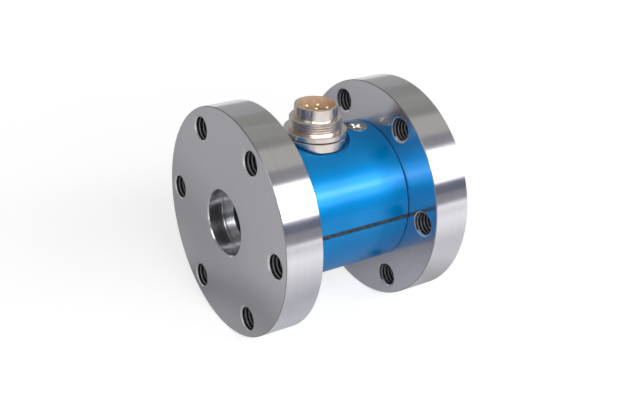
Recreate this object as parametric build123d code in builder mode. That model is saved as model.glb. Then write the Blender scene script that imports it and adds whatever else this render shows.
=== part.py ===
"""Flange-to-flange torque sensor with a round plug connector, in millimetres.

The sensor's axis lies along X, the connector stands up along +Z, and the origin is on the axis,
midway between the two flange faces.
"""
import os
from math import cos, radians, sin

from build123d import *

# Measuring body: two flanges, two shoulders and the thin torsion section between them
flange_diameter = 70.0
flange_thickness = 12.0
flange_edge_chamfer = 0.2
shoulder_length = 8.5
torsion_section_length = 23.0
torsion_section_diameter = 20.4
torsion_fillet = 2.5
centring_bore_diameter = 20.0
centring_bore_depth = 5.0
centring_bore_chamfer = 0.35
relief_bore_diameter = 19.2
relief_bore_depth = 2.0
hollow_shaft_diameter = 13.4

# Flange bolt holes, drawn at the core of their M8 thread
bolt_edge_distance = 6.0
bolt_count = 6
bolt_angle_from_connector = 30.0
bolt_core_diameter = 6.8
bolt_mouth_diameter = 8.1
bolt_mouth_angle = 120.0

# Two half-round covers that meet on a pair of sealing strips
cover_diameter = 44.5
cover_wall = 3.95
cover_seat_clearance = 0.05
cover_end_gap = 0.15
cover_edge_chamfer = 0.25
seam_width = 1.4
seam_recess = 0.15
seam_seat_clearance = 0.05

# Countersunk cross-recess screws that hold the covers on the shoulders
screw_thread_diameter = 3.5
screw_hole_clearance = 0.2
screw_thread_clearance = 0.02
screw_length = 9.0
screw_head_diameter = 6.8
screw_head_angle = 90.0
screw_head_rim = 0.35
screw_head_proud = 0.1
screw_head_chamfer = 0.12
screw_cross_span = 4.4
screw_cross_slot = 1.05
screw_cross_depth = 1.9
screw_cross_foot = 1.3
screw_cross_core = 2.1
screw_cross_core_taper = 15.0
screw_inset = 5.3
screw_inset_beside_connector = 4.2
screw_hole_spare_depth = 1.5

# Flat pocket in the upper cover where the connector is seated
connector_offset = -0.9
pocket_clearance = 1.0
pocket_depth = 2.4
pocket_edge_chamfer = 0.2
pocket_floor_thickness = 2.1
nut_pocket_clearance = 0.4

# Connector: gasket, seat ring, dark seal and the turned shell above them
base_gasket_thickness = 0.3
seat_ring_height = 2.8
seat_ring_width = 2.6
seat_ring_chamfer = 0.15
seal_inset = 0.25
seal_thickness = 0.3
disc_thickness = 1.7
disc_chamfer = 0.2
coupling_thread_diameter = 16.0
coupling_thread_length = 3.8
coupling_thread_chamfer = 0.35
plug_shell_diameter = 13.2
plug_shell_length = 3.7
plug_shell_wall = 0.75
plug_shell_chamfer = 0.2
tail_thread_diameter = 14.0
tail_hole_clearance = 0.1
tail_below_nut = 1.0
tail_thread_clearance = 0.02

# Connector inside: insert, its retaining ring, key and contacts
insert_clearance = 0.05
insert_step = 0.35
insert_step_drop = 8.2
insert_face_drop = 6.4
insert_tail_recess = 1.5
retainer_height = 1.0
retainer_width = 1.1
key_width = 1.3
key_height = 3.2
key_reach = 0.55
key_angle = -78.0
contact_diameter = 1.2
contact_clearance = 0.02
contact_circle_diameter = 7.0
contact_count = 6
contact_first_angle = 48.0
contact_tip_drop = 1.3
contact_tail = 2.0

# Lock nut under the upper cover
nut_wall = 1.5
nut_thickness = 2.2
nut_chamfer = 0.3

# Strain gauges on the torsion section, and the board that joins their wires to the connector
gauge_length = 8.0
gauge_width = 9.0
gauge_thickness = 0.2
board_thickness = 1.0
board_inner_clearance = 0.4
board_outer_clearance = 0.95
board_drop = 3.4
pad_diameter = 1.5
pad_height = 0.2
signal_pad_angle_step = 13.0
gauge_pad_angle = 88.0
gauge_pad_angle_step = 9.0
signal_wire_diameter = 0.6
gauge_wire_diameter = 0.4
wire_lead_in = 1.1
wire_run_step = 0.8
wire_turn_clearance = 0.6

# Places along the axis, measured from the middle of the sensor
shoulder_end = torsion_section_length / 2
inner_face = shoulder_end + shoulder_length
outer_face = inner_face + flange_thickness
centring_bore_floor = outer_face - centring_bore_depth
relief_bore_floor = centring_bore_floor - relief_bore_depth
cover_half_length = inner_face - cover_end_gap
far_screw_place = inner_face - screw_inset
near_top_screw_place = -(inner_face - screw_inset_beside_connector)
near_bottom_screw_place = -(inner_face - screw_inset)

# Radii
flange_radius = flange_diameter / 2
bolt_circle_radius = flange_radius - bolt_edge_distance
torsion_radius = torsion_section_diameter / 2
cover_radius = cover_diameter / 2
cover_bore_radius = cover_radius - cover_wall
shoulder_radius = cover_bore_radius - cover_seat_clearance
screw_thread_radius = screw_thread_diameter / 2
screw_head_radius = screw_head_diameter / 2

# Heights of the connector's parts above the axis, from the pocket's floor up
pocket_floor = cover_radius - pocket_depth
gasket_top = pocket_floor + base_gasket_thickness
seat_ring_top = gasket_top + seat_ring_height
seal_top = seat_ring_top + seal_thickness
disc_top = seal_top + disc_thickness
coupling_thread_top = disc_top + coupling_thread_length
rim_top = coupling_thread_top + plug_shell_length

# Heights of the connector's parts inside the cover, from the pocket's floor down
nut_seat = pocket_floor - pocket_floor_thickness
nut_bottom = nut_seat - nut_thickness
tail_end = nut_bottom - tail_below_nut
insert_face = rim_top - insert_face_drop
insert_ledge = rim_top - insert_step_drop
insert_back = tail_end + insert_tail_recess
contact_tip = rim_top - contact_tip_drop
contact_end = insert_back - contact_tail
wire_run_height = (torsion_radius + contact_end) / 2

# Radii of the connector's parts
tail_radius = tail_thread_diameter / 2
tail_hole_radius = tail_radius + tail_hole_clearance
plug_shell_radius = plug_shell_diameter / 2
plug_bore_radius = plug_shell_radius - plug_shell_wall
insert_nose_radius = plug_bore_radius - insert_clearance
insert_seat_radius = plug_bore_radius + insert_step
insert_body_radius = insert_seat_radius - insert_clearance
base_radius = tail_radius + seat_ring_width
pocket_radius = base_radius + pocket_clearance
nut_flat_radius = tail_radius + nut_wall
contact_radius = contact_diameter / 2

connector_plane = Plane.XY.move(Location((connector_offset, 0, 0)))
connector_section = Plane.XZ.move(Location((connector_offset, 0, 0)))
connector_axis = Axis((connector_offset, 0, 0), (0, 0, 1))
contact_places = [(0.0, 0.0)] + [
    (contact_circle_diameter / 2 * cos(angle), contact_circle_diameter / 2 * sin(angle))
    for angle in (radians(contact_first_angle + 360 / contact_count * i) for i in range(contact_count))
]

# Cover screws: name, place along the axis, the side of the sensor they go in from, and how far each was turned
cover_screws = [
    ("cover_screw_top_far", far_screw_place, 1, 17.0),
    ("cover_screw_top_near", near_top_screw_place, 1, 40.0),
    ("cover_screw_bottom_far", far_screw_place, -1, 63.0),
    ("cover_screw_bottom_near", near_bottom_screw_place, -1, 8.0),
]

os.makedirs("parts", exist_ok=True)


def save(piece, name):
    """Labels a finished piece and writes it as its own file."""
    piece.part.label = name
    export_step(piece.part, f"parts/{name}.step")


def ring(outer_radius, inner_radius):
    """Draws a flat ring in the sketch that is open."""
    Circle(outer_radius)
    Circle(inner_radius, mode=Mode.SUBTRACT)


def circles_of(piece, radius):
    """Gives the round edges of a piece that have one radius."""
    return piece.edges().filter_by(GeomType.CIRCLE).filter_by(lambda edge: abs(edge.radius - radius) < 1e-4)


def lies_on_pocket_mouth(edge):
    """Tells whether an edge is where the connector's pocket meets the cover's round outside."""
    for share in (0.25, 0.5, 0.75):
        point = edge @ share
        from_connector = (Vector(point.X - connector_offset, point.Y, 0)).length
        from_axis = Vector(0, point.Y, point.Z).length
        if abs(from_connector - pocket_radius) > 1e-3 or abs(from_axis - cover_radius) > 1e-3:
            return False
    return True


# The measuring body is turned from one bar: half of its section is revolved and mirrored
with BuildPart() as measuring_body:
    with BuildSketch(Plane.XZ) as half_section:
        with BuildLine():
            Polyline(
                (0, hollow_shaft_diameter / 2),
                (relief_bore_floor, hollow_shaft_diameter / 2),
                (relief_bore_floor, relief_bore_diameter / 2),
                (centring_bore_floor, relief_bore_diameter / 2),
                (centring_bore_floor, centring_bore_diameter / 2),
                (outer_face, centring_bore_diameter / 2),
                (outer_face, flange_radius),
                (inner_face, flange_radius),
                (inner_face, shoulder_radius),
                (shoulder_end, shoulder_radius),
                (shoulder_end, torsion_radius),
                (0, torsion_radius),
                close=True,
            )
        make_face()
        fillet(half_section.vertices().sort_by_distance((shoulder_end, torsion_radius))[0], torsion_fillet)
    revolve(axis=Axis.X)
    mirror(about=Plane.YZ)
    chamfer(circles_of(measuring_body, flange_radius), flange_edge_chamfer)
    bore_edges = circles_of(measuring_body, centring_bore_diameter / 2)
    chamfer(bore_edges.filter_by(lambda edge: abs(abs(edge.center().X) - outer_face) < 1e-4), centring_bore_chamfer)
    for place, outward in ((outer_face, 1), (inner_face, -1), (-inner_face, 1), (-outer_face, -1)):
        with Locations(Plane((place, 0, 0), x_dir=(0, 1, 0), z_dir=(outward, 0, 0))):
            with PolarLocations(bolt_circle_radius, bolt_count, 90 - bolt_angle_from_connector):
                CounterSinkHole(bolt_core_diameter / 2, bolt_mouth_diameter / 2, flange_thickness, bolt_mouth_angle)
    for _, place, side, _ in cover_screws:
        with Locations(Plane((place, 0, side * shoulder_radius), x_dir=(1, 0, 0), z_dir=(0, 0, side))):
            Hole(
                screw_thread_radius + screw_thread_clearance,
                screw_length - (cover_wall + cover_seat_clearance) + screw_hole_spare_depth,
            )
save(measuring_body, "measuring_body")

# Each cover is half of a tube, cut back from the other by half of the seam
screw_head_seat = screw_head_rim - screw_head_proud
for name, side in (("upper_cover", 1), ("lower_cover", -1)):
    with BuildPart() as cover:
        with BuildSketch(Plane.YZ.offset(-cover_half_length)):
            ring(cover_radius, cover_bore_radius)
            with Locations((0, side * (seam_width + cover_diameter) / 2)):
                Rectangle(cover_diameter, cover_diameter, mode=Mode.INTERSECT)
        extrude(amount=2 * cover_half_length)
        chamfer(circles_of(cover, cover_radius), cover_edge_chamfer)
        for _, place, screw_side, _ in cover_screws:
            if screw_side == side:
                with Locations(Plane((place, 0, side * cover_radius), x_dir=(1, 0, 0), z_dir=(0, 0, side))):
                    CounterSinkHole(
                        screw_thread_radius + screw_hole_clearance,
                        screw_head_radius + screw_head_seat,
                        cover_radius,
                        screw_head_angle,
                    )
        if side > 0:
            with BuildSketch(connector_plane.offset(pocket_floor)):
                Circle(pocket_radius)
            extrude(amount=pocket_depth, mode=Mode.SUBTRACT)
            pocket_edges = cover.edges().filter_by(lies_on_pocket_mouth)
            chamfer(pocket_edges, pocket_edge_chamfer)
            with BuildSketch(connector_plane.offset(nut_seat)):
                Circle(nut_flat_radius / cos(radians(30)) + nut_pocket_clearance)
            extrude(amount=-nut_seat, mode=Mode.SUBTRACT)
            with BuildSketch(connector_plane):
                Circle(tail_hole_radius)
            extrude(amount=cover_radius, mode=Mode.SUBTRACT)
    save(cover, name)

# The sealing strips fill the two seams, a little below the covers' outside
for name, side in (("seam_strip_front", -1), ("seam_strip_rear", 1)):
    strip_inside = cover_bore_radius + seam_seat_clearance
    strip_depth = cover_radius - seam_recess - strip_inside
    with BuildPart() as seam_strip:
        with BuildSketch(Plane.YZ.offset(-cover_half_length)):
            with Locations((side * (strip_inside + strip_depth / 2), 0)):
                Rectangle(strip_depth, seam_width)
        extrude(amount=2 * cover_half_length)
    save(seam_strip, name)

# Each screw is a turned blank with a cross pressed into its head: two arms whose floors slope to a round core
screw_cone_height = screw_head_radius - screw_thread_radius
for name, place, side, turn in cover_screws:
    head_top = cover_radius + screw_head_proud
    with BuildPart() as cover_screw:
        with BuildSketch(Plane((place, 0, 0), x_dir=(1, 0, 0), z_dir=(0, -side, 0))):
            with BuildLine():
                Polyline(
                    (0, head_top),
                    (screw_head_radius, head_top),
                    (screw_head_radius, head_top - screw_head_rim),
                    (screw_thread_radius, head_top - screw_head_rim - screw_cone_height),
                    (screw_thread_radius, head_top - screw_length),
                    (0, head_top - screw_length),
                    close=True,
                )
            make_face()
        revolve(axis=Axis((place, 0, 0), (0, 0, 1)))
        head_edges = circles_of(cover_screw, screw_head_radius).sort_by(Axis.Z)
        chamfer(head_edges[-1] if side > 0 else head_edges[0], screw_head_chamfer)
        for arm in (turn, turn + 90):
            across_arm = (-sin(radians(arm)), cos(radians(arm)), 0)
            along_arm = (cos(radians(arm)), sin(radians(arm)), 0)
            with BuildSketch(Plane((place, 0, side * head_top), x_dir=along_arm, z_dir=across_arm)):
                with BuildLine():
                    Polyline(
                        (-screw_cross_span / 2, 0),
                        (screw_cross_span / 2, 0),
                        (screw_cross_foot / 2, side * screw_cross_depth),
                        (-screw_cross_foot / 2, side * screw_cross_depth),
                        close=True,
                    )
                make_face()
            extrude(amount=screw_cross_slot / 2, both=True, mode=Mode.SUBTRACT)
        with BuildSketch(Plane((place, 0, side * head_top), x_dir=(1, 0, 0), z_dir=(0, 0, -side))):
            Circle(screw_cross_core / 2)
        extrude(amount=screw_cross_depth, taper=screw_cross_core_taper, mode=Mode.SUBTRACT)
    save(cover_screw, name)

# The rings under the connector, stacked up from the pocket's floor
with BuildPart() as base_gasket:
    with BuildSketch(connector_plane.offset(pocket_floor)):
        ring(base_radius - seal_inset, tail_hole_radius)
    extrude(amount=base_gasket_thickness)
save(base_gasket, "base_gasket")

with BuildPart() as seat_ring:
    with BuildSketch(connector_plane.offset(gasket_top)):
        ring(base_radius, tail_hole_radius)
    extrude(amount=seat_ring_height)
    chamfer(circles_of(seat_ring, base_radius), seat_ring_chamfer)
save(seat_ring, "connector_seat_ring")

with BuildPart() as shell_seal:
    with BuildSketch(connector_plane.offset(seat_ring_top)):
        ring(base_radius - seal_inset, tail_hole_radius)
    extrude(amount=seal_thickness)
save(shell_seal, "shell_seal")

# The connector's shell is turned in one piece, from its rim down to the threaded tail
with BuildPart() as connector_shell:
    with BuildSketch(connector_section):
        with BuildLine():
            Polyline(
                (plug_bore_radius, rim_top),
                (plug_shell_radius, rim_top),
                (plug_shell_radius, coupling_thread_top),
                (coupling_thread_diameter / 2, coupling_thread_top),
                (coupling_thread_diameter / 2, disc_top),
                (base_radius, disc_top),
                (base_radius, seal_top),
                (tail_radius, seal_top),
                (tail_radius, tail_end),
                (insert_seat_radius, tail_end),
                (insert_seat_radius, insert_ledge),
                (plug_bore_radius, insert_ledge),
                close=True,
            )
        make_face()
    revolve(axis=connector_axis)
    chamfer(circles_of(connector_shell, plug_shell_radius).sort_by(Axis.Z)[-1], plug_shell_chamfer)
    chamfer(circles_of(connector_shell, coupling_thread_diameter / 2).sort_by(Axis.Z)[-1], coupling_thread_chamfer)
    chamfer(circles_of(connector_shell, base_radius), disc_chamfer)
save(connector_shell, "connector_shell")

# The insert is put in from behind, up to the ledge, and carries the key beside its contacts
with BuildPart() as connector_insert:
    with BuildSketch(connector_section):
        with BuildLine():
            Polyline(
                (0, insert_face),
                (insert_nose_radius, insert_face),
                (insert_nose_radius, insert_ledge),
                (insert_body_radius, insert_ledge),
                (insert_body_radius, insert_back),
                (0, insert_back),
                close=True,
            )
        make_face()
    revolve(axis=connector_axis)
    with BuildSketch(connector_plane.offset(insert_face)):
        Circle(insert_nose_radius)
        with PolarLocations(insert_nose_radius, 1, key_angle):
            Rectangle(2 * key_reach, key_width, mode=Mode.INTERSECT)
    extrude(amount=key_height)
    with BuildSketch(connector_plane.offset(insert_back)):
        with Locations(*contact_places):
            Circle(contact_radius + contact_clearance)
    extrude(amount=insert_face - insert_back, mode=Mode.SUBTRACT)
save(connector_insert, "connector_insert")

with BuildPart() as insert_retainer:
    with BuildSketch(connector_plane.offset(insert_back)):
        ring(insert_body_radius, insert_body_radius - retainer_width)
    extrude(amount=-retainer_height)
save(insert_retainer, "insert_retainer")

# The contacts are rods with a domed tip, one on the axis and the rest on a circle
for number, (across, back) in enumerate(contact_places, start=1):
    with BuildPart() as contact:
        with BuildSketch(connector_plane.offset(contact_end)):
            with Locations((across, back)):
                Circle(contact_radius)
        extrude(amount=contact_tip - contact_end)
        fillet(circles_of(contact, contact_radius).sort_by(Axis.Z)[-1], contact_radius * 0.9)
    save(contact, f"contact_{number}")

with BuildPart() as lock_nut:
    with BuildSketch(connector_plane.offset(nut_seat)):
        RegularPolygon(nut_flat_radius, 6, major_radius=False)
        Circle(tail_radius + tail_thread_clearance, mode=Mode.SUBTRACT)
    extrude(amount=-nut_thickness)
    with BuildSketch(connector_plane.offset(nut_bottom)):
        Circle(nut_flat_radius - nut_chamfer)
    extrude(amount=nut_thickness, taper=-60, mode=Mode.INTERSECT)
save(lock_nut, "lock_nut")

# The strain gauges lie on opposite sides of the torsion section
for name, side in (("strain_gauge_front", -1), ("strain_gauge_rear", 1)):
    with BuildPart() as strain_gauge:
        with BuildSketch(Plane.YZ.offset(-gauge_length / 2)):
            ring(torsion_radius + gauge_thickness, torsion_radius)
            with Locations((side * torsion_radius, 0)):
                Rectangle(torsion_radius, gauge_width, mode=Mode.INTERSECT)
        extrude(amount=gauge_length)
    save(strain_gauge, name)

# The terminal board is an open ring bonded to the far shoulder, so it can be put on from the side
board_face = shoulder_end - board_thickness
board_inner_radius = torsion_radius + torsion_fillet + board_inner_clearance
board_outer_radius = shoulder_radius - board_outer_clearance
pad_circle_radius = (board_inner_radius + board_outer_radius) / 2
signal_pad_angles = [90 + signal_pad_angle_step * (i - contact_count / 2) for i in range(contact_count + 1)]
gauge_pad_angles = [
    90 + side * (gauge_pad_angle + shift * gauge_pad_angle_step) for side in (-1, 1) for shift in (-0.5, 0.5)
]


def pad_place(angle):
    """Gives a pad's place across the sensor, from its angle around the axis."""
    return pad_circle_radius * cos(radians(angle)), pad_circle_radius * sin(radians(angle))


with BuildPart() as terminal_board:
    with BuildSketch(Plane.YZ.offset(board_face)):
        ring(board_outer_radius, board_inner_radius)
        with Locations((0, cover_radius / 2 - board_drop / 2)):
            Rectangle(cover_diameter, cover_radius + board_drop, mode=Mode.INTERSECT)
    extrude(amount=board_thickness)
    with BuildSketch(Plane.YZ.offset(board_face - pad_height)):
        with Locations(*[pad_place(angle) for angle in signal_pad_angles + gauge_pad_angles]):
            Circle(pad_diameter / 2)
    extrude(amount=pad_height)
save(terminal_board, "terminal_board")

# One wire joins each contact to its pad. They fan out under the shell in the order of the contacts
# across it, those of the contacts behind pass under the others, and all turn up to the board past the shell
pad_face = board_face - pad_height
wire_turn_place = connector_offset + tail_radius + wire_turn_clearance
fan_order = [2, 1, 3, 0, 6, 5, 4]
with BuildPart() as signal_wires:
    for pad_angle, contact_index in zip(signal_pad_angles, fan_order):
        across, back = contact_places[contact_index]
        pad_y, pad_z = pad_place(pad_angle)
        start = connector_offset + across
        run_height = wire_run_height - (wire_run_step if across < 0 else 0)
        with BuildLine():
            route = Polyline(
                (start, back, contact_end),
                (start, back, run_height),
                (wire_turn_place, pad_y, run_height),
                (pad_face - wire_lead_in, pad_y, pad_z),
                (pad_face, pad_y, pad_z),
            )
        with BuildSketch(Plane(origin=route @ 0, z_dir=route % 0)):
            Circle(signal_wire_diameter / 2)
        sweep(path=route, transition=Transition.RIGHT)
save(signal_wires, "signal_wires")

# Two thinner wires run from each gauge to the board's ends
with BuildPart() as gauge_wires:
    for pad_angle in gauge_pad_angles:
        pad_y, pad_z = pad_place(pad_angle)
        gauge_y = (torsion_radius + gauge_thickness + gauge_wire_diameter / 2) * (1 if pad_y > 0 else -1)
        with BuildLine():
            route = Polyline(
                (gauge_length / 2 - wire_lead_in, gauge_y, pad_z),
                (gauge_length / 2 + wire_lead_in, gauge_y, pad_z),
                (pad_face - wire_lead_in, pad_y, pad_z),
                (pad_face, pad_y, pad_z),
            )
        with BuildSketch(Plane(origin=route @ 0, z_dir=route % 0)):
            Circle(gauge_wire_diameter / 2)
        sweep(path=route, transition=Transition.RIGHT)
save(gauge_wires, "gauge_wires")
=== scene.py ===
import math

import bpy
from mathutils import Euler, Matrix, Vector


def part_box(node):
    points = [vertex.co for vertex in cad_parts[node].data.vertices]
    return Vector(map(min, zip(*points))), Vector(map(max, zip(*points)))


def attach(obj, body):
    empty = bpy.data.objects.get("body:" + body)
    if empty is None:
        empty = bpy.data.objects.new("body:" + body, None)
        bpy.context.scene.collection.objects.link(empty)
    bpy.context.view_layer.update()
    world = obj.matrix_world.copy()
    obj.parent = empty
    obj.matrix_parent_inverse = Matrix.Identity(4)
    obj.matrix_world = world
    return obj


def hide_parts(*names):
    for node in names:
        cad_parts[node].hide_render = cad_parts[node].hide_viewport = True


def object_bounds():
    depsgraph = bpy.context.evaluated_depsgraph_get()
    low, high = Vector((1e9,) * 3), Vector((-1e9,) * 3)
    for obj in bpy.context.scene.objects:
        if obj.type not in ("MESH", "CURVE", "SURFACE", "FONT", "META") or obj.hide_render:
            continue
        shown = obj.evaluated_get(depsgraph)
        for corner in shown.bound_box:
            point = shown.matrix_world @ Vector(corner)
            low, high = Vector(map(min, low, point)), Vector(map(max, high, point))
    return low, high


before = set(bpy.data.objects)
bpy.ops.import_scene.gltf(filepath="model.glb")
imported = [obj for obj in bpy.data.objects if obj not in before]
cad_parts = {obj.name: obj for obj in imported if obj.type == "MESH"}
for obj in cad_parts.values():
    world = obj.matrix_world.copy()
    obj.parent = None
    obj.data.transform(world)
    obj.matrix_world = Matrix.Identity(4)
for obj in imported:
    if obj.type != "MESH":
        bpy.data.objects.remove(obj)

cad_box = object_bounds()


# The camera stands where the photograph was taken from: in front of the sensor and to its left, looking down
# by about 27 degrees, and so close that the far flange looks a little smaller. The small shift is the
# photograph's own crop.
camera_place = (-0.151259, -0.216093, 0.129408)
camera_turn = (63.3578, -1.6320, -31.5236)
camera = bpy.data.objects.new("camera", bpy.data.cameras.new("camera"))
camera.location = camera_place
camera.rotation_euler = Euler([math.radians(angle) for angle in camera_turn])
camera.data.lens = 52.792
camera.data.sensor_width = 36.0
camera.data.shift_x = 0.0713
camera.data.shift_y = -0.0031
camera.data.clip_start = 0.01
bpy.context.scene.collection.objects.link(camera)
bpy.context.scene.camera = camera
bpy.context.scene.view_settings.view_transform = "Standard"


# The floor is a wide sheet of matt pale paper. It takes the object's soft shadow, and what the camera and the
# metal see of it is lifted towards white: the camera sees it paler further out. What the metal sees is
# painted
# light and shade: a painted pool of light in front of the object, and painted shade in a ring close round it.
def linear(colour):
    """Turns an sRGB hex colour into the linear one that a shader takes."""
    channels = [int(colour[i:i + 2], 16) / 255 for i in (1, 3, 5)]
    return [c / 12.92 if c <= 0.04045 else ((c + 0.055) / 1.055) ** 2.4 for c in channels] + [1.0]


def add(tree, kind, inputs=None, ramp=None, **settings):
    """Adds a node with its settings. An input is a value, or another node's output to link."""
    node = tree.nodes.new("ShaderNode" + kind)
    for name, value in settings.items():
        setattr(node, name, value)
    for name, value in (inputs or {}).items():
        if isinstance(value, bpy.types.NodeSocket):
            tree.links.new(value, node.inputs[name])
        else:
            node.inputs[name].default_value = value
    for number, (position, colour) in enumerate(ramp or []):
        stops = node.color_ramp.elements
        stop = stops[number] if number < 2 else stops.new(position)
        stop.position = position
        stop.color = colour
    return node


def new_material(name):
    """Starts a material with an empty node tree."""
    made = bpy.data.materials.new(name)
    made.use_nodes = True
    made.node_tree.nodes.clear()
    return made, made.node_tree


def background_rays(tree):
    """Gives 1 for the rays that show the background: from the camera, off metal and through glass."""
    path = add(tree, "LightPath")
    shown = path.outputs["Is Camera Ray"]
    for kind in ("Is Glossy Ray", "Is Transmission Ray"):
        shown = add(tree, "Math", {0: shown, 1: path.outputs[kind]}, operation="MAXIMUM").outputs[0]
    return shown


def greys(stops):
    """Turns pairs of place and brightness into the stops of a grey ramp."""
    return [(place, [bright] * 3 + [1.0]) for place, bright in stops]


floor_height = cad_box[0].z
floor_radius = 1.6
floor_corners = 64
lift_reach = 0.6
seen_lift = [(0.15, 0.72), (1.0, 1.0)]
# Painted light and shade seen only by the metal: darkest in a ring about 45 mm out, paler further out.
painted_round_light = [(0.0, 0.20), (0.05, 0.17), (0.075, 0.02), (0.103, 0.24), (0.40, 0.24), (0.55, 0.65),
              (1.0, 0.75)]
lift_rear, lift_front = 0.0, -0.5
# A painted pool of light in front of the object, seen only by the metal.
painted_front_light = [(0.0, 0.0), (0.03, 0.0), (0.047, 0.13), (0.082, 0.22), (0.126, 0.20), (0.168, 0.41),
              (0.248, 0.57), (0.5, 0.04), (1.0, 0.0)]
strip_across = (-10.0, -1.6, 0.0)
painted_shadow_strip = [(0.33, 0.0), (0.42, 0.5), (0.48, 0.5), (0.62, 0.0)]
strip_front, strip_full = 0.015, 0.045

paper, tree = new_material("matt_paper_floor")
matt = add(tree, "BsdfDiffuse", {"Color": linear("#b6b6b7")})
place = add(tree, "TexCoord")
distance = add(tree, "VectorMath", {0: place.outputs["Object"]}, operation="LENGTH")
reach = add(tree, "Math", {0: distance.outputs["Value"], 1: lift_reach}, operation="DIVIDE")
seen = add(tree, "ValToRGB", {0: reach.outputs[0]}, ramp=greys(seen_lift))
parts = add(tree, "SeparateXYZ", {0: place.outputs["Object"]})
ahead = add(tree, "MapRange", {0: parts.outputs["Y"], 1: lift_rear, 2: lift_front, 3: 0.0, 4: 1.0})
front = add(tree, "ValToRGB", {0: ahead.outputs[0]}, ramp=greys(painted_front_light))
around = add(tree, "ValToRGB", {0: reach.outputs[0]}, ramp=greys(painted_round_light))
# A painted shadow of the near flange, a dim strip beside it behind its middle, darkens the left of the near
# face.
# The distance across it is in tenths of a metre, and the strip slants away from the flange towards the rear.
across = add(tree, "VectorMath", {0: place.outputs["Object"], 1: strip_across}, operation="DOT_PRODUCT")
strip = add(tree, "ValToRGB", {0: across.outputs["Value"]}, ramp=greys(painted_shadow_strip))
behind = add(tree, "MapRange", {0: parts.outputs["Y"], 1: strip_front, 2: strip_full, 3: 0.0, 4: 1.0})
painted_shadow = add(tree, "Math", {0: strip.outputs[0], 1: behind.outputs[0]}, operation="MULTIPLY")
outside_painted_shadow = add(tree, "Math", {0: 1.0, 1: painted_shadow.outputs[0]}, operation="SUBTRACT")
# What the metal sees is painted light: the ring, darkened by the painted shadow strip, plus the pool in
# front.
painted_reflected_light = add(tree, "Math", {0: around.outputs[0], 1: outside_painted_shadow.outputs[0], 2: front.outputs[0]},
               operation="MULTIPLY_ADD")
path = add(tree, "LightPath")
lifted = add(tree, "Mix", {0: path.outputs["Is Camera Ray"], 6: painted_reflected_light.outputs[0], 7: seen.outputs[0]},
             data_type="RGBA")
lift = add(tree, "Emission", {"Color": lifted.outputs[2], "Strength": background_rays(tree)})
both = add(tree, "AddShader", {0: matt.outputs[0], 1: lift.outputs[0]})
add(tree, "OutputMaterial", {"Surface": both.outputs[0]})

bpy.ops.object.select_all(action="DESELECT")
bpy.ops.mesh.primitive_circle_add(
    vertices=floor_corners, radius=floor_radius, fill_type="NGON", location=(0, 0, floor_height))
floor = bpy.context.object
floor.name = "floor"
floor.data.materials.append(paper)


# The studio round the table: white walls, with large grey boards in front of most of them, so that the metal
# shows a few bright gaps between quiet greys. Most of those under the ceiling are a little warmer. The camera
# sees no board.
def board(name, centre, width, height, tilt, grey):
    """Stands one plain board of the studio, facing the object."""
    card, tree = new_material(name + "_card")
    glow = add(tree, "Emission", {"Color": linear(grey), "Strength": 1.0})
    add(tree, "OutputMaterial", {"Surface": glow.outputs[0]})
    bpy.ops.object.select_all(action="DESELECT")
    turn = [math.radians(angle) for angle in tilt]
    bpy.ops.mesh.primitive_plane_add(size=1.0, location=centre, rotation=turn)
    made = bpy.context.object
    made.name = name
    made.scale = (width, height, 1.0)
    made.visible_camera = False
    made.visible_diffuse = False
    made.visible_shadow = False
    made.data.materials.append(card)


board("board_rear", (0.0, 1.5, 0.74), 3.2, 1.32, (90, 0, 0), "#b0b0b0")
board("board_ceiling_rear", (0.0, 1.00, 1.1), 3.0, 0.80, (0, 0, 0), "#9d9f98")
board("board_ceiling_pale", (0.0, 0.40, 1.1), 3.0, 0.38, (0, 0, 0), "#a4a59e")
board("board_ceiling_middle", (0.0, 0.11, 1.1), 3.0, 0.20, (0, 0, 0), "#989991")
board("board_ceiling_strip", (0.0, -0.23, 1.1), 3.0, 0.48, (0, 0, 0), "#c3c2ba")
board("board_ceiling_front", (0.0, -0.645, 1.1), 3.0, 0.35, (0, 0, 0), "#98989c")
board("board_right", (1.6, 0.2, 0.75), 2.8, 1.2, (90, 0, 90), "#909092")
board("board_left", (-1.6, 0.2, 0.75), 2.8, 1.2, (90, 0, 90), "#909092")
board("board_front_low", (0.0, -1.2, 0.13), 3.2, 0.44, (90, 0, 0), "#6a7082")
board("board_table_edge", (0.0, -0.42, 0.005), 2.4, 0.08, (90, 0, 0), "#9c9ca0")

room_light = 0.12

world = bpy.data.worlds.new("studio_walls")
bpy.context.scene.world = world
world.use_nodes = True
tree = world.node_tree
tree.nodes.clear()
seen = add(tree, "Background", {"Color": linear("#ffffff"), "Strength": 1.0})
given = add(tree, "Background", {"Color": linear("#ffffff"), "Strength": room_light})
sky = add(tree, "MixShader", {0: background_rays(tree), 1: given.outputs[0], 2: seen.outputs[0]})
add(tree, "OutputWorld", {"Surface": sky.outputs[0]})


# One wide softbox lights the object from the front, over the camera, and its tube makes it brightest along
# the middle, for the white bands on the turned rims. A small one on the left catches the edges of the holes.
def softbox(name, place, width, height, power):
    """Hangs one softbox, turned to the object."""
    data = bpy.data.lights.new(name, "AREA")
    data.shape = "RECTANGLE"
    data.size = width
    data.size_y = height
    data.energy = power
    made = bpy.data.objects.new(name, data)
    made.location = place
    made.rotation_euler = Vector(place).to_track_quat("Z", "Y").to_euler()
    made.visible_camera = False
    bpy.context.scene.collection.objects.link(made)


softbox("softbox_front", (0.0, -0.643, 0.441), 1.30, 0.46, 4.0)
softbox("softbox_front_tube", (0.0, -0.642, 0.440), 1.30, 0.10, 3.4)
softbox("softbox_left", (-0.75, -0.17, 0.42), 0.35, 0.35, 0.8)


# The measuring body is one piece of stainless steel, turned on a lathe, with ground rims. The tool leaves
# fine rings round the axis on every face, so light is drawn out across them: sharp along the rim, and spread
# to the sides.
noise_low, noise_high = 0.35, 0.65


def tones(dark, pale, low=noise_low, high=noise_high):
    """Gives the two stops of a ramp, for a pattern whose values lie mostly between low and high."""
    return [(low, linear(dark)), (high, linear(pale))]


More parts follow.
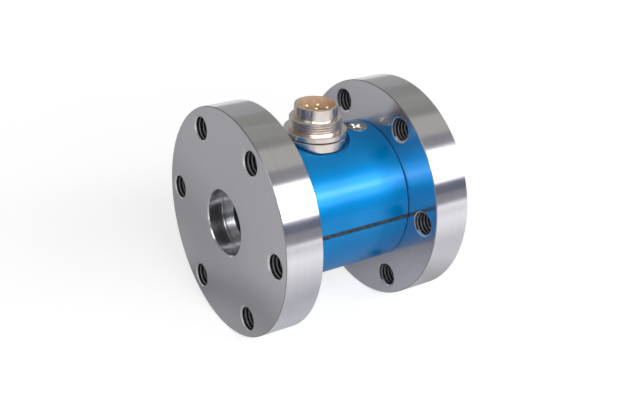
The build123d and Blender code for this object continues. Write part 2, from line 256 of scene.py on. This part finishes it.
turned_steel, tree = new_material("turned_stainless_steel")
ring_spacing = 0.00030
stain_size = 0.009
smoothest, roughest = 0.15, 0.19
place = add(tree, "TexCoord")
parts = add(tree, "SeparateXYZ", {0: place.outputs["Object"]})
across = add(tree, "CombineXYZ", {"Y": parts.outputs["Y"], "Z": parts.outputs["Z"]})
radius = add(tree, "VectorMath", {0: across.outputs[0]}, operation="LENGTH")
rings_at = add(tree, "CombineXYZ", {"X": parts.outputs["X"], "Y": radius.outputs["Value"]})
# The real rings are 0.1 mm apart, too fine to show, so they are drawn 0.3 mm apart.
rings = add(tree, "TexNoise", {"Vector": rings_at.outputs[0], "Scale": 1 / ring_spacing, "Detail": 1.0})
tone = add(tree, "ValToRGB", {0: rings.outputs[0]}, ramp=tones("#d2d0d6", "#d6d4da", 0.3, 0.7))
stains = add(tree, "TexNoise", {"Vector": place.outputs["Object"], "Scale": 1 / stain_size, "Detail": 3.0})
sheen = add(tree, "MapRange", {
    0: stains.outputs[0], 1: noise_low, 2: noise_high, 3: smoothest, 4: roughest,
})
grooves = add(tree, "Bump", {"Height": rings.outputs[0], "Strength": 0.02, "Distance": 0.00002})
drawn = add(tree, "Tangent", direction_type="RADIAL", axis="X")
steel = add(tree, "BsdfPrincipled", {
    "Base Color": tone.outputs[0], "Metallic": 1.0, "Roughness": sheen.outputs[0], "Anisotropic": 0.8,
    "Anisotropic Rotation": 0.25, "Tangent": drawn.outputs[0], "Normal": grooves.outputs[0],
})
add(tree, "OutputMaterial", {"Surface": steel.outputs[0]})

# The boring bar leaves the centring bores and the hollow shaft duller than the faces. Their darker tone is
# partly painted shade, for the shade deep inside them.
bored_steel, tree = new_material("bored_stainless_steel")
chatter_size = 0.003
place = add(tree, "TexCoord")
chatter = add(tree, "TexNoise", {"Vector": place.outputs["Object"], "Scale": 1 / chatter_size, "Detail": 3.0})
tone = add(tree, "ValToRGB", {0: chatter.outputs[0]}, ramp=tones("#b4b4b8", "#c4c4c8"))
drawn = add(tree, "Tangent", direction_type="RADIAL", axis="X")
steel = add(tree, "BsdfPrincipled", {
    "Base Color": tone.outputs[0], "Metallic": 1.0, "Roughness": 0.25, "Anisotropic": 0.6,
    "Anisotropic Rotation": 0.25, "Tangent": drawn.outputs[0],
})
add(tree, "OutputMaterial", {"Surface": steel.outputs[0]})


def mottled(name, dark, pale, spot_size, detail, surface, raised=None):
    """Makes a finish with dark and pale spots. Raised ones take the bump's strength and depth."""
    made, tree = new_material(name)
    place = add(tree, "TexCoord")
    spots = add(tree, "TexNoise", {
        "Vector": place.outputs["Object"], "Scale": 1 / spot_size, "Detail": detail,
    })
    tone = add(tree, "ValToRGB", {0: spots.outputs[0]}, ramp=tones(dark, pale))
    surface = {"Base Color": tone.outputs[0], **surface}
    if raised:
        strength, depth = raised
        bump = add(tree, "Bump", {"Height": spots.outputs[0], "Strength": strength, "Distance": depth})
        surface["Normal"] = bump.outputs[0]
    shader = add(tree, "BsdfPrincipled", surface)
    add(tree, "OutputMaterial", {"Surface": shader.outputs[0]})
    return made


# The flanges' edges carry a narrow line of painted shade, darker and duller than the faces beside it.
edge_shade_steel = mottled("painted_shade_steel_edge", "#828286", "#949498", spot_size=0.0006, detail=2.0,
                      surface={"Metallic": 1.0, "Roughness": 0.3})

# A tap leaves the crests of the threads bright, with small tears that scatter the light as well as mirror it.
tapped_steel = mottled("tapped_steel_threads", "#d0d0d4", "#e2e2e6", spot_size=0.0004, detail=2.0,
                       surface={"Metallic": 0.6, "Roughness": 0.25}, raised=(0.2, 0.00002))

# The grooves of the threads are darkened as painted shade, so the crests stand out as light lines.
groove_shade_steel = mottled("painted_shade_thread_grooves", "#424246", "#5c5c60", spot_size=0.001, detail=2.0,
                      surface={"Metallic": 0.8, "Roughness": 0.3})


weld_distance = 1e-6


def merged_copy(node, name):
    """Copies a piece of the CAD model and joins its loose triangles, so that it can be cut."""
    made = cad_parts[node].copy()
    made.data = made.data.copy()
    made.name = name
    made.parent = None
    bpy.context.scene.collection.objects.link(made)
    bpy.ops.object.select_all(action="DESELECT")
    made.select_set(True)
    bpy.context.view_layer.objects.active = made
    bpy.ops.object.mode_set(mode="EDIT")
    bpy.ops.mesh.select_all(action="SELECT")
    bpy.ops.mesh.remove_doubles(threshold=weld_distance)
    bpy.ops.mesh.customdata_custom_splitnormals_clear()
    bpy.ops.object.mode_set(mode="OBJECT")
    return made


def thread_cutter(name, profile, axis, pitch, turns, steps):
    """Winds a small closed profile into the groove that a thread's tool would cut."""
    bpy.ops.object.select_all(action="DESELECT")
    bpy.ops.mesh.primitive_circle_add(
        vertices=len(profile), radius=1.0, fill_type="NOTHING", location=(0, 0, 0))
    made = bpy.context.object
    made.name = name
    for vertex, (along, out) in zip(made.data.vertices, profile):
        vertex.co = (along, 0.0, out) if axis == "X" else (out, 0.0, along)
    winding = made.modifiers.new("winding", "SCREW")
    winding.axis = axis
    winding.angle = math.tau
    winding.screw_offset = pitch
    winding.iterations = turns
    winding.steps = steps
    winding.render_steps = steps
    winding.use_merge_vertices = False
    bpy.ops.object.modifier_apply(modifier="winding")
    bpy.ops.object.mode_set(mode="EDIT")
    bpy.ops.mesh.select_all(action="SELECT")
    bpy.ops.mesh.fill_holes(sides=len(profile))
    bpy.ops.mesh.select_all(action="SELECT")
    bpy.ops.mesh.normals_make_consistent(inside=False)
    bpy.ops.object.mode_set(mode="OBJECT")
    return made


def cut(piece, cutter):
    """Cuts one piece with another, which is then thrown away."""
    bpy.ops.object.select_all(action="DESELECT")
    piece.select_set(True)
    bpy.context.view_layer.objects.active = piece
    cutting = piece.modifiers.new("cutting", "BOOLEAN")
    cutting.operation = "DIFFERENCE"
    cutting.solver = "EXACT"
    cutting.object = cutter
    bpy.ops.object.modifier_apply(modifier="cutting")
    bpy.data.objects.remove(cutter)


def dress(piece, *finishes):
    """Gives a piece its finishes, the main one first."""
    piece.data.materials.clear()
    for finish in finishes:
        piece.data.materials.append(finish)


# M8 threads: 1.25 mm pitch, cut 0.6 mm deep into the 6.8 mm core holes. The cutter's inner edge lies inside
# the hole and its ends outside the flange, so that the groove runs right through.
flange_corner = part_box("measuring_body")[1]
flange_end, flange_radius = flange_corner.x, flange_corner.z
flange_thickness = 0.012
bolt_edge_distance = 0.006
bolts, first_bolt_angle = 6, 30
thread_pitch = 0.00125
thread_root = 0.0040
thread_core = 0.00335
thread_turns, thread_steps = 13, 40
groove_root_half = 0.00020
groove_mouth_half = 0.00045
near_lead, far_lead = 0.00136, 0.0032
thread_starts = (-flange_end - near_lead, flange_end - flange_thickness - far_lead)
thread_sharp_angle = math.radians(20)

bolt_circle = flange_radius - bolt_edge_distance
bolt_places = []
for number in range(bolts):
    angle = math.radians(first_bolt_angle + 360 / bolts * number)
    bolt_places.append((-bolt_circle * math.sin(angle), bolt_circle * math.cos(angle)))

groove = [(-groove_mouth_half, thread_core), (-groove_root_half, thread_root),
          (groove_root_half, thread_root), (groove_mouth_half, thread_core)]
tap = thread_cutter("tap", groove, "X", thread_pitch, thread_turns, thread_steps)
taps = []
for start in thread_starts:
    for side, up in bolt_places:
        turned = tap.copy()
        turned.data = tap.data.copy()
        turned.location = (start, side, up)
        bpy.context.scene.collection.objects.link(turned)
        taps.append(turned)
bpy.data.objects.remove(tap)
bpy.ops.object.select_all(action="DESELECT")
for turned in taps:
    turned.select_set(True)
bpy.context.view_layer.objects.active = taps[0]
bpy.ops.object.join()
bpy.ops.object.transform_apply(location=True, rotation=True, scale=True)

steel_body = merged_copy("measuring_body", "steel_body")
cut(steel_body, taps[0])
bpy.ops.object.shade_smooth_by_angle(angle=thread_sharp_angle)

# Each face takes its finish from where it lies: in a thread's groove, in the rest of a bolt hole, in the
# bores, on the flanges' edges, or anywhere else.
crest_reach = 0.0035
groove_reach = 0.00405
hole_reach = 0.0043
flange_middle = flange_end - flange_thickness / 2
groove_half_length = 0.0056
bore_reach = 0.0101
edge_line = 0.0003
edge_reach = flange_radius - edge_line
rim_slope, face_slope = 0.3, 0.95
steels = [turned_steel, tapped_steel, bored_steel, edge_shade_steel, groove_shade_steel]
dress(steel_body, *steels)
for face in steel_body.data.polygons:
    out = math.hypot(*face.center[1:])
    from_hole = min(math.dist(face.center[1:], hole) for hole in bolt_places)
    from_middle = abs(abs(face.center.x) - flange_middle)
    slope = abs(face.normal.x)
    # The threads' grooves take the painted shade.
    if crest_reach < from_hole < groove_reach and from_middle < groove_half_length:
        finish = groove_shade_steel
    elif from_hole < hole_reach and slope < face_slope:
        finish = tapped_steel
    # The bores take the partly painted shade.
    elif out < bore_reach:
        finish = bored_steel
    # The flanges' edges take the painted shade.
    elif out > edge_reach and rim_slope < slope < face_slope:
        finish = edge_shade_steel
    else:
        finish = turned_steel
    face.material_index = steels.index(finish)
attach(steel_body, "root")
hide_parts("measuring_body")


# Two strain gauges are bonded to the torsion section: a fine metal foil grid on an amber film, at 45 degrees
# to the axis, where twisting stretches the steel most.
gauge_film, tree = new_material("polyimide_gauge_film")
foil_spacing = 0.0005
foil_angle = math.radians(45)
place = add(tree, "TexCoord")
turned = add(tree, "Mapping", {0: place.outputs["Object"], "Rotation": (0.0, foil_angle, 0.0)})
foil = add(tree, "TexWave", {0: turned.outputs[0], "Scale": 1 / foil_spacing / math.tau, "Distortion": 0.0})
tone = add(tree, "ValToRGB", {0: foil.outputs[0]}, ramp=tones("#b8742c", "#c9b9a0", 0.45, 0.55))
film = add(tree, "BsdfPrincipled", {"Base Color": tone.outputs[0], "Roughness": 0.35})
add(tree, "OutputMaterial", {"Surface": film.outputs[0]})
for name in ("strain_gauge_front", "strain_gauge_rear"):
    dress(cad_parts[name], gauge_film)


# The terminal board is glass-fibre laminate under green lacquer, bonded to the far shoulder. Its raised
# tinned pads face the torsion section, and the wires are soldered to them.
board_material, tree = new_material("green_circuit_board")
weave_spacing = 0.0006
pad_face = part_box("terminal_board")[0].x
tin_height = 0.00017
place = add(tree, "TexCoord")
parts = add(tree, "SeparateXYZ", {0: place.outputs["Object"]})
weave = add(tree, "TexNoise", {"Vector": place.outputs["Object"], "Scale": 1 / weave_spacing, "Detail": 2.0})
lacquer = add(tree, "ValToRGB", {0: weave.outputs[0]}, ramp=tones("#1d5a36", "#27693f"))
on_pad = add(tree, "Math", {0: parts.outputs["X"], 1: pad_face + tin_height}, operation="LESS_THAN")
tone = add(tree, "Mix", {0: on_pad.outputs[0], 6: lacquer.outputs[0], 7: linear("#d6d3ca")}, data_type="RGBA")
laminate = add(tree, "BsdfPrincipled", {
    "Base Color": tone.outputs[2], "Metallic": on_pad.outputs[0], "Roughness": 0.3,
})
add(tree, "OutputMaterial", {"Surface": laminate.outputs[0]})
dress(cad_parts["terminal_board"], board_material)


# Seven insulated wires join the connector to the board, and four enamelled ones the gauges. The insulation
# changes colour from wire to wire across the sensor, so that each can be told at both ends.
insulation, tree = new_material("wire_insulation")
fan_width = 0.020
place = add(tree, "TexCoord")
parts = add(tree, "SeparateXYZ", {0: place.outputs["Object"]})
order = add(tree, "MapRange", {0: parts.outputs["Y"], 1: -fan_width / 2, 2: fan_width / 2, 3: 0.0, 4: 1.0})
wire_colours = ["#c23a2e", "#e0a030", "#e6d94a", "#3f9a4a", "#2f62b4", "#7a4a9c", "#d8d8d4"]
steps = [(number / len(wire_colours), linear(colour)) for number, colour in enumerate(wire_colours)]
tone = add(tree, "ValToRGB", {0: order.outputs[0]}, ramp=steps)
tone.color_ramp.interpolation = "CONSTANT"
sleeve = add(tree, "BsdfPrincipled", {"Base Color": tone.outputs[0], "Roughness": 0.4})
add(tree, "OutputMaterial", {"Surface": sleeve.outputs[0]})
for name in ("signal_wires", "gauge_wires"):
    dress(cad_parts[name], insulation)


# The two half covers are turned aluminium, blasted fine and anodised blue: a clear oxide, dyed through, over
# satin metal. The eye gets a deep even blue, a soft pale band where the oxide mirrors the lamp, and paler
# ends, where a painted highlight runs along their edges.
blue_anodised, tree = new_material("blue_anodised_aluminium")
blast_size = 0.0003
patch_size = 0.014
cover_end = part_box("upper_cover")[1].x
edge_width = 0.0003
painted_edge_highlight = 0.5
place = add(tree, "TexCoord")
parts = add(tree, "SeparateXYZ", {0: place.outputs["Object"]})
# The blasted grain is 0.05 mm, too fine to show, so it is drawn 0.3 mm wide.
grain = add(tree, "TexNoise", {"Vector": place.outputs["Object"], "Scale": 1 / blast_size, "Detail": 2.0})
patches = add(tree, "TexNoise", {"Vector": place.outputs["Object"], "Scale": 1 / patch_size, "Detail": 2.0})
dye = add(tree, "ValToRGB", {0: patches.outputs[0]}, ramp=tones("#0082c8", "#0089d2"))
out = add(tree, "Math", {0: parts.outputs["X"]}, operation="ABSOLUTE")
# Painted highlight: the last 0.3 mm of each end turns paler blue.
edge = add(tree, "MapRange", {
    0: out.outputs[0], 1: cover_end - edge_width, 2: cover_end, 3: 0.0, 4: painted_edge_highlight,
})
tone = add(tree, "Mix", {0: edge.outputs[0], 6: dye.outputs[0], 7: linear("#58b4ec")}, data_type="RGBA")
blasted = add(tree, "Bump", {"Height": grain.outputs[0], "Strength": 0.08, "Distance": 0.00002})
cover = add(tree, "BsdfPrincipled", {
    "Base Color": tone.outputs[2], "Metallic": 0.60, "Roughness": 0.42, "Specular IOR Level": 0.0,
    "Normal": blasted.outputs[0], "Coat Weight": 0.42, "Coat Roughness": 0.17, "Coat IOR": 1.5,
})
add(tree, "OutputMaterial", {"Surface": cover.outputs[0]})
for name in ("upper_cover", "lower_cover"):
    dress(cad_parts[name], blue_anodised)


# Strips of cellular rubber seal the two seams between the covers, and flat rings of a harder rubber the
# connector. Their cut faces are matt and a little uneven, and the pores mottle them.
pore_bump = (0.5, 0.0001)
strip_rubber = mottled("cellular_seal_rubber", "#101920", "#34454f", spot_size=0.0008, detail=3.0,
                       surface={"Roughness": 0.6}, raised=pore_bump)
ring_rubber = mottled("black_gasket_rubber", "#101316", "#1d2125", spot_size=0.0005, detail=3.0,
                      surface={"Roughness": 0.5}, raised=pore_bump)
for name in ("seam_strip_front", "seam_strip_rear"):
    dress(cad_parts[name], strip_rubber)
for name in ("base_gasket", "shell_seal"):
    dress(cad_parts[name], ring_rubber)


# The covers are held by countersunk steel screws, zinc plated. The plating has dulled to grey on the head's
# flat and keeps the fine scratches of the wire, and the cross is painted near white, as a painted highlight.
zinc, tree = new_material("zinc_plated_steel")
scratch_size = 0.0005
scratch_stretch = (1.0, 0.25, 1.0)
head_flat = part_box("cover_screw_top_far")[1].z
cross_drop = 0.00025
place = add(tree, "TexCoord")
parts = add(tree, "SeparateXYZ", {0: place.outputs["Object"]})
height = add(tree, "Math", {0: parts.outputs["Z"]}, operation="ABSOLUTE")
in_cross = add(tree, "Math", {0: height.outputs[0], 1: head_flat - cross_drop}, operation="LESS_THAN")
drawn_out = add(tree, "Mapping", {0: place.outputs["Object"], "Scale": scratch_stretch})
scratches = add(tree, "TexNoise", {"Vector": drawn_out.outputs[0], "Scale": 1 / scratch_size, "Detail": 2.0})
tone = add(tree, "ValToRGB", {0: scratches.outputs[0]}, ramp=tones("#9c9d9b", "#b9b9b4"))
# Painted highlight: the cross recess is near white.
cross_highlight = add(tree, "Mix", {0: in_cross.outputs[0], 6: tone.outputs[0], 7: linear("#eeeeea")},
             data_type="RGBA")
scratched = add(tree, "Bump", {"Height": scratches.outputs[0], "Strength": 0.35, "Distance": 0.00004})
plated = add(tree, "BsdfPrincipled", {
    "Base Color": cross_highlight.outputs[2], "Metallic": 1.0, "Roughness": 0.24, "Normal": scratched.outputs[0],
})
add(tree, "OutputMaterial", {"Surface": plated.outputs[0]})
for side in ("top", "bottom"):
    for end in ("far", "near"):
        dress(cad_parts[f"cover_screw_{side}_{end}"], zinc)


# The connector is turned from brass and nickel plated: a warm, satin grey. The tool's rings run round its own
# axis, under the plating.
nickel, tree = new_material("nickel_plated_brass")
shell_low, shell_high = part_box("connector_shell")
connector_offset = (shell_low.x + shell_high.x) / 2
turning_spacing = 0.00025
tarnish_size = 0.004
place = add(tree, "TexCoord")
centred = add(tree, "Mapping", {0: place.outputs["Object"], "Location": (-connector_offset, 0.0, 0.0)})
parts = add(tree, "SeparateXYZ", {0: centred.outputs[0]})
flat = add(tree, "CombineXYZ", {"X": parts.outputs["X"], "Y": parts.outputs["Y"]})
radius = add(tree, "VectorMath", {0: flat.outputs[0]}, operation="LENGTH")
rings_at = add(tree, "CombineXYZ", {"X": radius.outputs["Value"], "Y": parts.outputs["Z"]})
# These rings are 0.1 mm apart too, and are drawn 0.25 mm apart.
rings = add(tree, "TexNoise", {"Vector": rings_at.outputs[0], "Scale": 1 / turning_spacing, "Detail": 1.0})
tarnish = add(tree, "TexNoise", {"Vector": place.outputs["Object"], "Scale": 1 / tarnish_size, "Detail": 3.0})
tone = add(tree, "ValToRGB", {0: tarnish.outputs[0]}, ramp=tones("#d6cbc3", "#e2dad3"))
turning = add(tree, "Bump", {"Height": rings.outputs[0], "Strength": 0.15, "Distance": 0.00002})
plated = add(tree, "BsdfPrincipled", {
    "Base Color": tone.outputs[0], "Metallic": 1.0, "Roughness": 0.24, "Normal": turning.outputs[0],
})
add(tree, "OutputMaterial", {"Surface": plated.outputs[0]})
for name in ("connector_seat_ring", "insert_retainer", "lock_nut"):
    dress(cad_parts[name], nickel)

# Inside the socket the plating is matt, as it came from the bath, and tinted by a painted reflection of the
# insert.
matt_nickel_and_reflection = mottled("matt_nickel_painted_reflection", "#dfc6b0", "#ead4c0", spot_size=0.0012, detail=2.0,
                      surface={"Metallic": 0.6, "Roughness": 0.35})

# M16 x 0.75 coupling thread: five turns, cut 0.54 mm deep between the disc and the smooth shell.
coupling_pitch = 0.00075
coupling_mouth = 0.00806
coupling_root = 0.00746
coupling_mouth_half = 0.00034
coupling_root_half = 0.00006
disc_thickness = 0.0017
coupling_lead = 0.00037
coupling_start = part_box("shell_seal")[1].z + disc_thickness + coupling_lead
coupling_turns, coupling_steps = 5, 72
coupling_sharp_angle = math.radians(30)
socket_reach = 0.0060
wall_slope = 0.5
groove = [(-coupling_mouth_half, coupling_mouth), (-coupling_root_half, coupling_root),
          (coupling_root_half, coupling_root), (coupling_mouth_half, coupling_mouth)]
chaser = thread_cutter("chaser", groove, "Z", coupling_pitch, coupling_turns, coupling_steps)
chaser.location = (connector_offset, 0.0, coupling_start)
bpy.ops.object.transform_apply(location=True, rotation=True, scale=True)

plug_shell = merged_copy("connector_shell", "plug_shell")
cut(plug_shell, chaser)
bpy.ops.object.shade_smooth_by_angle(angle=coupling_sharp_angle)
platings = [nickel, matt_nickel_and_reflection]
dress(plug_shell, *platings)
for face in plug_shell.data.polygons:
    out = math.hypot(face.center.x - connector_offset, face.center.y)
    in_socket = out < socket_reach and abs(face.normal.z) < wall_slope
    face.material_index = platings.index(matt_nickel_and_reflection if in_socket else nickel)
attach(plug_shell, "root")
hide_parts("connector_shell")


# The insert is moulded from light brown thermosetting plastic, and a ring holds it in the shell. The plastic
# is filled with glass fibre, which shows as a fine pale fleck.
brown_plastic = mottled("brown_insert_plastic", "#d0ab88", "#dcbc9c", spot_size=0.0004, detail=2.0,
                        surface={"Roughness": 0.4})
dress(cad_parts["connector_insert"], brown_plastic)


# The seven contacts are turned brass pins with domed tips, gold plated. The plating is bright, and a little
# rubbed where plugs have been pushed on.
contacts = 7
gold = mottled("gold_plated_brass", "#f6d8a4", "#fbe4bc", spot_size=0.0004, detail=2.0,
               surface={"Metallic": 1.0, "Roughness": 0.42})
for number in range(1, contacts + 1):
    dress(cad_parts[f"contact_{number}"], gold)
